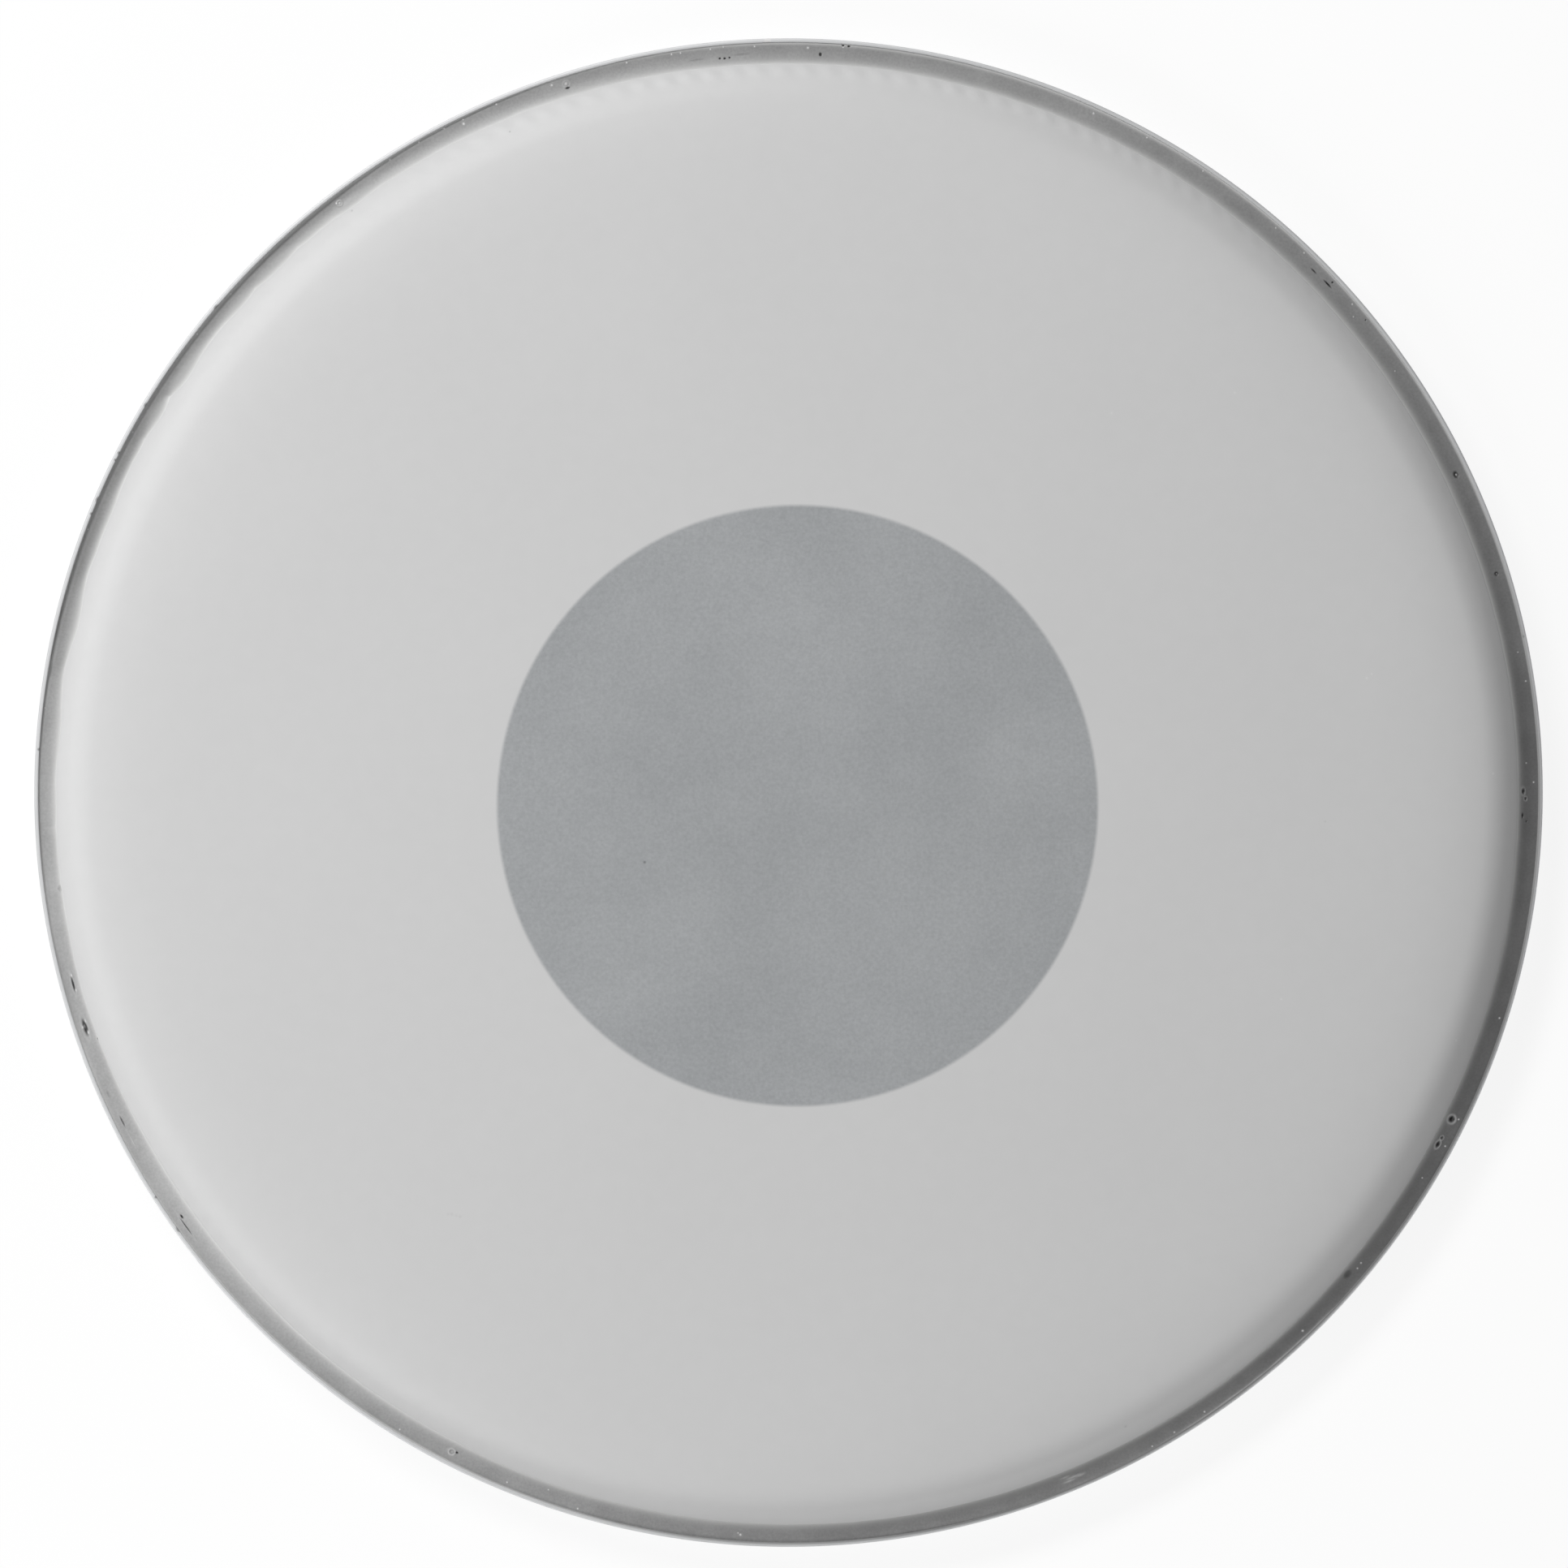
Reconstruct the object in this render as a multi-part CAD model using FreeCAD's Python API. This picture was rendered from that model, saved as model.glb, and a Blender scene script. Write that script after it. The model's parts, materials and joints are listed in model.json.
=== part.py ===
import FreeCAD, Part
import math
import os

# Drum head: a coated film with a formed collar, cast with resin into a rolled channel hoop.
# The axis is Z, the hoop rests on the plane z = 0 and the playing surface faces up.

# Hoop, lengths in millimetres and angles in degrees
hoop_outer_diameter = 369.0
hoop_height = 10.0
outer_wall = 1.0
inner_wall = 0.8
hoop_floor = 1.0
channel_width = 4.2
channel_bend_radius = 0.6
lip_round_share = 0.3
seam_angle = 91.6
seam_width = 1.6
weld_root_gap = 0.25

# Film with its collar and skirt
film_thickness = 0.254
collar_height = 9.0
collar_angle = 57.0
collar_round_radius = 6.4
skirt_bend_radius = 1.5
skirt_bend_depth = 3.1
skirt_floor_gap = 0.8
film_wall_gap = 0.3

# Slots punched through the skirt, which the resin fills
slot_count = 180
slot_width = 3.2
slot_edge_margin = 0.7

# Resin cast into the channel
resin_below_lip = 0.8
resin_climb = 0.25
resin_dip = 0.2

# Coat on the upper side of the film
coating_thickness = 0.08
coating_margin = 0.3

# Damping dot under the film, a little off the middle as it was laid
dot_diameter = 146.9
dot_thickness = 0.127
dot_offset_x = 2.16
dot_offset_y = -3.19
adhesive_thickness = 0.05
adhesive_margin = 0.6

# Length by which each cutting tool passes the faces that it cuts
cut_overrun = 0.5

# Places that follow from the sizes above
hoop_outer_radius = hoop_outer_diameter / 2
channel_outer_radius = hoop_outer_radius - outer_wall
channel_inner_radius = channel_outer_radius - channel_width
hoop_inner_radius = channel_inner_radius - inner_wall
skirt_radius = channel_outer_radius - channel_width / 2 + film_thickness / 2
skirt_bottom = hoop_floor + skirt_floor_gap
resin_level = hoop_height - resin_below_lip
skirt_bend_level = resin_level - skirt_bend_depth
film_top = hoop_height + collar_height
film_underside = film_top - film_thickness
collar_slope = math.radians(collar_angle)
seam_turn = math.degrees(seam_width / hoop_outer_radius)

full_turn = 360.0
axis_foot = FreeCAD.Vector(0, 0, 0)
axis_up = FreeCAD.Vector(0, 0, 1)


def section_point(radius, height):
    """A point of the half section, which lies in the XZ plane."""
    return FreeCAD.Vector(radius, 0, height)


def rounded_path(corners):
    """Edges along (point, rounding radius) corners; the first and last corners stay sharp."""
    edges = []
    start = corners[0][0]
    for index in range(1, len(corners) - 1):
        corner, radius = corners[index]
        if radius == 0:
            edges.append(Part.LineSegment(start, corner).toShape())
            start = corner
            continue
        back = (corners[index - 1][0] - corner).normalize()
        ahead = (corners[index + 1][0] - corner).normalize()
        half_angle = back.getAngle(ahead) / 2
        reach = radius / math.tan(half_angle)
        inward = (back + ahead).normalize()
        arc_start = corner + back * reach
        arc_end = corner + ahead * reach
        arc_middle = corner + inward * (radius / math.sin(half_angle) - radius)
        edges.append(Part.LineSegment(start, arc_start).toShape())
        edges.append(Part.Arc(arc_start, arc_middle, arc_end).toShape())
        start = arc_end
    edges.append(Part.LineSegment(start, corners[-1][0]).toShape())
    return edges


def revolved(edges, turn=full_turn):
    """The solid that a closed loop of section edges sweeps about the axis."""
    face = Part.Face(Part.Wire(Part.__sortEdges__(edges)))
    return face.revolve(axis_foot, axis_up, turn)


def collar_point(height, depth=0):
    """A point on the sloping collar, at a depth under the film's upper face along its normal."""
    run = (height - skirt_bend_level) * math.cos(collar_slope) + depth
    return section_point(skirt_radius - run / math.sin(collar_slope), height)


def skirt_corner(depth=0):
    """Where the upright skirt and the slope would meet if the bend were sharp."""
    drop = depth * (1 - math.sin(collar_slope)) / math.cos(collar_slope)
    return section_point(skirt_radius - depth, skirt_bend_level - drop)


def film_face(depth):
    """Corners of a film face from the skirt's lower edge to the axis."""
    return [
        (section_point(skirt_radius - depth, skirt_bottom), 0),
        (skirt_corner(depth), skirt_bend_radius + film_thickness - depth),
        (collar_point(film_top - depth, depth), collar_round_radius - depth),
        (section_point(0, film_top - depth), 0),
    ]


def inner_wall_top():
    """Height at which the film's under face passes the inner wall by the stated gap."""
    run = skirt_radius - (channel_inner_radius + film_wall_gap)
    rise = run * math.sin(collar_slope) - film_thickness
    return skirt_bend_level + rise / math.cos(collar_slope)


def hoop_section(root_gap=0):
    """Closed section of the channel: floor, outer wall with its lip, and lower inner wall.

    A root gap takes that much off the faces inside the channel."""
    outer_bend = channel_bend_radius + outer_wall
    inner_bend = channel_bend_radius + inner_wall
    outer_lip = lip_round_share * outer_wall
    inner_lip = lip_round_share * inner_wall
    outer_face = channel_outer_radius + root_gap
    inner_face = channel_inner_radius - root_gap
    floor_face = hoop_floor - root_gap
    floor_middle = section_point(channel_outer_radius - channel_width / 2, 0)
    wall_top = inner_wall_top()
    corners = [
        (floor_middle, 0),
        (section_point(hoop_outer_radius, 0), outer_bend),
        (section_point(hoop_outer_radius, hoop_height), outer_lip),
        (section_point(outer_face, hoop_height), outer_lip),
        (section_point(outer_face, floor_face), channel_bend_radius + root_gap),
        (section_point(inner_face, floor_face), channel_bend_radius + root_gap),
        (section_point(inner_face, wall_top), inner_lip),
        (section_point(hoop_inner_radius, wall_top), inner_lip),
        (section_point(hoop_inner_radius, 0), inner_bend),
        (floor_middle, 0),
    ]
    return rounded_path(corners)


def make_hoop_channel():
    """The rolled channel, open at its seam."""
    channel = revolved(hoop_section(), full_turn - seam_turn)
    channel.rotate(axis_foot, axis_up, seam_angle + seam_turn / 2)
    return channel


def make_hoop_weld():
    """The weld that fills the seam, ground flush outside and short of the channel's inside."""
    weld = revolved(hoop_section(weld_root_gap), seam_turn)
    weld.rotate(axis_foot, axis_up, seam_angle - seam_turn / 2)
    return weld


def skirt_slots():
    """Punch tools for the slots, one for each step round the skirt."""
    slot_bottom = skirt_bottom + slot_edge_margin
    bend_reach = skirt_bend_radius * math.tan((math.pi / 2 - collar_slope) / 2)
    slot_top = skirt_corner(film_thickness).z - bend_reach - slot_edge_margin
    depth = film_thickness + 2 * cut_overrun
    corner = FreeCAD.Vector(skirt_radius - film_thickness - cut_overrun, -slot_width / 2, slot_bottom)
    punch = Part.makeBox(depth, slot_width, slot_top - slot_bottom, corner)
    tools = []
    for index in range(slot_count):
        tool = punch.copy()
        tool.rotate(axis_foot, axis_up, index * full_turn / slot_count)
        tools.append(tool)
    return tools


def make_head_film():
    """The film: flat head, rounded edge, sloping collar and punched skirt."""
    upper = film_face(0)
    under = film_face(film_thickness)
    skirt_edge = Part.LineSegment(upper[0][0], under[0][0]).toShape()
    axis_edge = Part.LineSegment(upper[-1][0], under[-1][0]).toShape()
    edges = rounded_path(upper) + rounded_path(under) + [skirt_edge, axis_edge]
    return revolved(edges).cut(skirt_slots())


def make_resin_fill(film):
    """The casting: it fills the channel round the skirt and climbs a little up film and lip."""
    film_line = collar_point(resin_level + resin_climb)
    lip_line = section_point(channel_outer_radius, resin_level + resin_climb)
    middle_radius = (film_line.x + lip_line.x) / 2
    surface = Part.Arc(film_line, section_point(middle_radius, resin_level - resin_dip), lip_line)
    under_level = inner_wall_top() - lip_round_share * inner_wall
    corners = [
        (lip_line, 0),
        (section_point(channel_outer_radius, hoop_floor), channel_bend_radius),
        (section_point(channel_inner_radius, hoop_floor), channel_bend_radius),
        (section_point(channel_inner_radius, under_level), 0),
        (collar_point(under_level, film_thickness), 0),
        (film_line, 0),
    ]
    edges = rounded_path(corners) + [surface.toShape()]
    return revolved(edges).cut(film)


def make_top_coating():
    """The coat, on the head and down the collar to just above the resin."""
    edge_level = resin_level + resin_climb + coating_margin
    film_side = [(collar_point(edge_level), 0)] + film_face(0)[2:]
    foot = collar_point(edge_level)
    outward = FreeCAD.Vector(math.sin(collar_slope), 0, math.cos(collar_slope))
    upper_side = [(foot + outward * coating_thickness, 0)] + film_face(-coating_thickness)[2:]
    foot_edge = Part.LineSegment(film_side[0][0], upper_side[0][0]).toShape()
    axis_edge = Part.LineSegment(film_side[-1][0], upper_side[-1][0]).toShape()
    return revolved(rounded_path(film_side) + rounded_path(upper_side) + [foot_edge, axis_edge])


def dot_layer(radius, thickness, upper_level):
    """A thin disc under the film, centred where the dot was laid."""
    foot = FreeCAD.Vector(dot_offset_x, dot_offset_y, upper_level - thickness)
    return Part.makeCylinder(radius, thickness, foot, axis_up)


def make_dot_adhesive():
    """The bond between film and dot, squeezed out a little past the dot's edge."""
    return dot_layer(dot_diameter / 2 + adhesive_margin, adhesive_thickness, film_underside)


def make_reverse_dot():
    """The damping film disc under the bond."""
    return dot_layer(dot_diameter / 2, dot_thickness, film_underside - adhesive_thickness)


head_film = make_head_film()
nodes = {
    "hoop_channel": make_hoop_channel(),
    "hoop_weld": make_hoop_weld(),
    "resin_fill": make_resin_fill(head_film),
    "head_film": head_film,
    "top_coating": make_top_coating(),
    "dot_adhesive": make_dot_adhesive(),
    "reverse_dot": make_reverse_dot(),
}

os.makedirs("parts", exist_ok=True)
for name, shape in nodes.items():
    shape.exportStep(f"parts/{name}.step")
    print(name, len(shape.Solids), shape.isValid(), round(shape.Volume, 2))
print("inner wall top", round(inner_wall_top(), 3))
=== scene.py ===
import json
import math
from collections import defaultdict, namedtuple

import bmesh
import bpy
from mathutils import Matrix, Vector, noise


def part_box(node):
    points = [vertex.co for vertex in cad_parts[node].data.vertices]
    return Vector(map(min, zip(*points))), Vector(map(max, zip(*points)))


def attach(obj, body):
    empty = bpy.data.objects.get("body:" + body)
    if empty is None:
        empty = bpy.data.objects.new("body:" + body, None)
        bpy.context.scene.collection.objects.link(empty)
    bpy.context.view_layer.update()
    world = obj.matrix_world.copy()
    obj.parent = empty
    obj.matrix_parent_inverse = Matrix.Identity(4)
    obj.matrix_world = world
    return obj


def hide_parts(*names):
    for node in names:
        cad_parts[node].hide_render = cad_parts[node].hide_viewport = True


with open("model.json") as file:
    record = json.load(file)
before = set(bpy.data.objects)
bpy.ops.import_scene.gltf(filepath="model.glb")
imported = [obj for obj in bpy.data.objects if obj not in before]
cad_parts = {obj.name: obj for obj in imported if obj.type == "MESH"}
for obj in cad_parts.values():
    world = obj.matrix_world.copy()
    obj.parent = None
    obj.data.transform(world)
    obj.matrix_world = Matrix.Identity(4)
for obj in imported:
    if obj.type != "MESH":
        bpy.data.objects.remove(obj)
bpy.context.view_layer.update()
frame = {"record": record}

# Drum head: a coated film with a formed collar, cast with resin into a rolled channel hoop.
# Lengths are millimetres until they reach meshes, lamps and the camera, which take metres.
# Named angles and the tables by angle hold degrees, and functions take radians unless they say so.
metres_per_mm = 0.001


def node_box(node):
    """Lowest and highest corner of a solid, in millimetres."""
    low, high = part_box(node)
    return low / metres_per_mm, high / metres_per_mm


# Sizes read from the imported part
mounts = {mount["name"]: mount["dims"] for mount in frame["record"]["mounts"]}
hoop_outer_radius = mounts["hoop_outside"]["r_mm"]
hoop_inner_radius = mounts["shell_bore"]["r_mm"]
hoop_height = node_box("hoop_channel")[1].z
skirt_bottom = node_box("head_film")[0].z
film_top = node_box("head_film")[1].z
coat_thickness = node_box("top_coating")[1].z - film_top
dot_low, dot_high = node_box("reverse_dot")
bond_low, bond_high = node_box("dot_adhesive")
dot_centre = ((dot_low + dot_high) / 2).xy
dot_radius = (dot_high.x - dot_low.x) / 2
bond_radius = (bond_high.x - bond_low.x) / 2

# Section of the hoop
outer_wall = 1.0
inner_wall = 0.8
hoop_floor = 1.0
channel_bend_radius = 0.6
lip_round_share = 0.3
lip_outer_round = 0.45
lip_inner_round = 0.2
seam_angle = 91.6
seam_width = 1.6
weld_root_gap = 0.03

# Section of the film
film_thickness = 0.254
collar_angle = 57.0
skirt_bend_radius = 1.5
skirt_bend_depth = 3.1
film_wall_gap = 0.3
slot_count = 180
slot_edge_margin = 0.7

# Resin: how it stands in the groove, and how far each of its lines wanders
resin_below_lip = 0.8
film_climb = 1.4
film_line_wander = 0.16
fine_drift_share = 0.6
lip_line_wander = 0.04
resin_swell = 0.05
resin_tone_wander = 0.02
film_side_share = 0.8
lip_side_share = 0.14
climb_power = 2.0
least_climb = 0.15
steepest_share = 0.94
resin_sink = 0.02
resin_side_drop = 0.8
ragged_height = 2.2
ragged_middle = 0.2

# Lines that wander: how many swings each has in a turn, and the seed that tells it from the others
Drift = namedtuple("Drift", "swings seed")
film_drift = Drift(70, 1.7)
film_fine_drift = Drift(210, 4.1)
film_scallops = Drift(95, 6.4)
resin_drift = Drift(40, 2.2)
tone_drift = Drift(25, 8.8)
lip_drift = Drift(90, 7.9)
phase_drift = Drift(45, 3.6)
coat_drift = Drift(130, 9.2)
bond_drift = Drift(60, 5.5)

# By angle: how much higher than usual the resin ends on the film, how ragged that edge is, how much
# higher than usual the resin lies in the groove, its grey, which holds painted light and shade, and
# how deep it is clear, how wide and how far it is clear along the lip, partly as painted light there,
# how high it climbs the lip, and how strongly the lip is darkened there as painted shade drawn as smeared
# resin
resin_rises = [
    (0, 0.1), (30, 0.85), (60, 0.65), (90, 0.2), (120, -0.35), (150, -1.1), (195, -1.25),
    (215, 0.35), (240, 0.05), (255, -0.4), (280, -0.95), (310, -1.1), (340, -0.65), (360, 0.1),
]
ragged_edges = [(0, 0.0), (118, 0.0), (134, 1.0), (172, 1.0), (188, 0.0), (360, 0.0)]
resin_levels = [
    (0, 0.4), (30, 0.4), (60, 0.45), (90, 0.42), (108, 0.3), (119, 0.0), (132, -0.5), (162, -0.45),
    (180, 0.05), (200, 0.4), (240, 0.25), (270, 0.1), (295, 0.4), (340, 0.45), (360, 0.4),
]
# Painted light and shade: the grey is lighter on the left, which faces the lamps, and darker on the right
# and where the lip shades the groove
resin_greys_with_painted_light = [
    (0, 0.132), (15, 0.185), (30, 0.25), (70, 0.325), (90, 0.285), (105, 0.3), (120, 0.27),
    (140, 0.225), (160, 0.205), (180, 0.345), (192, 0.39), (210, 0.385), (255, 0.3), (275, 0.235),
    (300, 0.225), (330, 0.135), (360, 0.132),
]
clear_depths = [
    (0, 0.45), (60, 0.5), (90, 0.6), (135, 0.6), (152, 0.75), (165, 0.75), (180, 1.0), (195, 0.6),
    (210, 0.42), (245, 0.45), (275, 0.85), (310, 0.85), (345, 0.6), (360, 0.45),
]
# Paleness along the lip: partly thin resin over the metal, partly painted light where the lip's inner edge
# faces the lamps and over the lip's shadow
lip_clear_and_lit_widths = [
    (0, 0.1), (30, 0.3), (65, 0.6), (90, 0.5), (110, 0.3), (130, 0.9), (165, 0.9),
    (180, 0.4), (195, 0.55), (210, 0.4), (235, 0.35), (265, 0.1), (300, 0.05), (360, 0.1),
]
lip_clear_and_lit_shares = [
    (0, 0.5), (50, 0.8), (100, 0.8), (125, 0.6), (168, 0.6), (190, 0.8), (240, 0.8),
    (270, 0.1), (340, 0.1), (360, 0.5),
]
lip_climbs = [
    (0, 0.03), (40, 0.1), (240, 0.1), (265, 0.0), (290, -0.08), (325, -0.08), (345, -0.02), (360, 0.03),
]
# Painted shade: the lip is darkened, drawn as smeared resin, on its right side where the collar shades it
# from the lamps
painted_lip_shades = [(0, 0.65), (40, 0.0), (240, 0.0), (270, 0.65), (290, 0.9), (335, 0.88), (360, 0.65)]

# Coat: its lower edge, and the shallow waves that the punched skirt draws into the collar
coat_gap = 0.03
coat_edge_wander = 0.02
coat_feather_thickness = 0.02
coat_feather_share = 0.125
wave_height = 0.095
wave_radius = 176.2
wave_reach = 1.4
wave_count = 187
wave_slant = -0.55
wave_drift = 1.5
wave_pulls = [
    (0, 0.1), (44, 0.2), (56, 0.5), (70, 0.7), (78, 0.9), (90, 1.0), (100, 1.4), (110, 1.2), (124, 0.3),
    (200, 0.15), (222, 0.4), (240, 0.15), (360, 0.1),
]

# Head as the drawn film stands: it droops towards the shoulder and slopes softly down to the resin
shoulder_radius = 169.7
shoulder_droop = 1.8
droop_length = 8.0
slope_top_radius = 175.9
slope_angle = 50.0

# Fineness of the meshes; coat and resin have finer columns between two angles
arc_steps = 8
hoop_columns = 720
weld_columns = 8
film_columns = 1080
fine_columns = 4
fine_from = 48.0
fine_to = 190.0
dot_columns = 360
dot_rings = 3
dome_rings = 18
shoulder_steps = 12
longest_step = 1.0
slope_rows = 12
resin_rows = 44
sharp_angle = 35.0

# The photograph: centre of the head, its outline's radius and its frame, in pixels
photo_size = 1932
photo_centre = Vector((971.6, 976.6))
photo_radius = 929.6
mm_per_pixel = hoop_outer_radius / photo_radius

# Places that follow from the sizes above
channel_outer_radius = hoop_outer_radius - outer_wall
channel_inner_radius = hoop_inner_radius + inner_wall
skirt_radius = (channel_outer_radius + channel_inner_radius + film_thickness) / 2
resin_level = hoop_height - resin_below_lip
skirt_bend_level = resin_level - skirt_bend_depth
collar_slope = math.radians(collar_angle)
soft_slope = math.radians(slope_angle)
seam_turn = seam_width / hoop_outer_radius
seam_middle = math.radians(seam_angle)
full_turn = 2 * math.pi


def on_part(pixel_x, pixel_y):
    """The place on the part, seen from straight above, of a pixel of the photograph."""
    return Vector((pixel_x - photo_centre.x, photo_centre.y - pixel_y)) * mm_per_pixel


def inward_place(degrees, depth):
    """The place on the part at an angle, so many pixels in from the outline."""
    angle = math.radians(degrees)
    return (photo_radius - depth) * mm_per_pixel * Vector((math.cos(angle), math.sin(angle)))


def heading(place):
    """The angle round the axis of a place."""
    return math.atan2(place.y, place.x)


def turn_between(angle, other):
    """The signed turn from one angle to another."""
    return (other - angle + math.pi) % full_turn - math.pi


def smooth(value):
    """Goes from 0 to 1 without corners."""
    share = min(max(value, 0), 1)
    return share * share * (3 - 2 * share)


def wander(angle, drift):
    """A smooth random value, from -1 to 1, that swings as the drift says."""
    reach = drift.swings / full_turn
    return noise.noise(Vector((reach * math.cos(angle), reach * math.sin(angle), drift.seed)))


# Meshes that carry a section round an axis

def rounded_path(corners):
    """Points along (radius, height, rounding) corners, with each rounding as an arc."""
    path = [corners[0][:2]]
    for before, here, after in zip(corners, corners[1:], corners[2:]):
        corner = Vector(here[:2])
        rounding = here[2]
        if rounding == 0:
            path.append(here[:2])
            continue
        back = (Vector(before[:2]) - corner).normalized()
        ahead = (Vector(after[:2]) - corner).normalized()
        half_angle = back.angle(ahead) / 2
        centre = corner + (back + ahead).normalized() * rounding / math.sin(half_angle)
        reach = rounding / math.tan(half_angle)
        first = corner + back * reach - centre
        last = corner + ahead * reach - centre
        for step in range(arc_steps + 1):
            spoke = first.slerp(last, step / arc_steps).normalized() * rounding
            path.append(tuple(centre + spoke))
    path.append(corners[-1][:2])
    return path


def divided(path):
    """The path with its longer runs cut into short steps."""
    points = [path[0]]
    for start, end in zip(path, path[1:]):
        run = Vector(end) - Vector(start)
        pieces = max(1, math.ceil(run.length / longest_step))
        for piece in range(1, pieces + 1):
            points.append(tuple(Vector(start) + run * piece / pieces))
    return points


def fixed(path):
    """Rows for points of a section that stay the same all the way round."""
    return [lambda angle, point=point: point for point in path]


def even_angles(columns, start=0.0):
    """Angles of a whole turn in equal steps."""
    return [start + full_turn * column / columns for column in range(columns)]


def edge_angles():
    """Angles of a whole turn, closer where the coat is wavy and the resin's edge ragged."""
    angles = []
    for column in range(film_columns):
        degrees = 360 * column / film_columns
        parts = fine_columns if fine_from <= degrees < fine_to else 1
        angles += [full_turn * (column + part / parts) / film_columns for part in range(parts)]
    return angles


def sweep_grid(rows, angles, centre=Vector((0, 0))):
    """Points of the rows carried round an axis, and each row's ring of point numbers."""
    points = []
    rings = []
    for row in rows:
        radius, height = row(0)
        if radius == 0:
            rings.append([len(points)] * len(angles))
            points.append((centre.x, centre.y, height))
            continue
        rings.append(list(range(len(points), len(points) + len(angles))))
        for angle in angles:
            radius, height = row(angle)
            x = centre.x + radius * math.cos(angle)
            y = centre.y + radius * math.sin(angle)
            points.append((x, y, height))
    return points, rings


def ring_faces(rings, closed_section, whole_turn=True, left_out=None):
    """Faces between the rings, apart from the (ring, column) cells that are left out."""
    faces = []
    columns = len(rings[0])
    last_ring = len(rings) if closed_section else len(rings) - 1
    last_column = columns if whole_turn else columns - 1
    for ring in range(last_ring):
        near = rings[ring]
        far = rings[(ring + 1) % len(rings)]
        for column in range(last_column):
            if left_out and left_out(ring, column):
                continue
            ahead = (column + 1) % columns
            corners = (near[column], near[ahead], far[ahead], far[column])
            faces.append(tuple(dict.fromkeys(corners)))
    if not whole_turn:
        faces.append(tuple(ring[0] for ring in rings))
        faces.append(tuple(ring[-1] for ring in rings))
    return faces


def make_piece(name, points, faces, material, node):
    """A shaded mesh piece that stands for a solid of the frame."""
    mesh = bpy.data.meshes.new(name)
    mesh.from_pydata([Vector(point) * metres_per_mm for point in points], [], faces)
    shell = bmesh.new()
    shell.from_mesh(mesh)
    bmesh.ops.recalc_face_normals(shell, faces=shell.faces)
    for face in shell.faces:
        face.smooth = True
    for edge in shell.edges:
        edge.smooth = edge.calc_face_angle(0) < math.radians(sharp_angle)
    shell.to_mesh(mesh)
    shell.free()
    mesh.materials.append(material)
    piece = bpy.data.objects.new(name, mesh)
    bpy.context.scene.collection.objects.link(piece)
    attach(piece, "root")
    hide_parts(node)
    return piece


def set_values(piece, name, values):
    """Gives each point of a piece a number that its material reads."""
    attribute = piece.data.attributes.new(name, "FLOAT", "POINT")
    attribute.data.foreach_set("value", values)


# Node materials

def grey(level):
    """A neutral colour."""
    return level, level, level, 1


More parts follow.
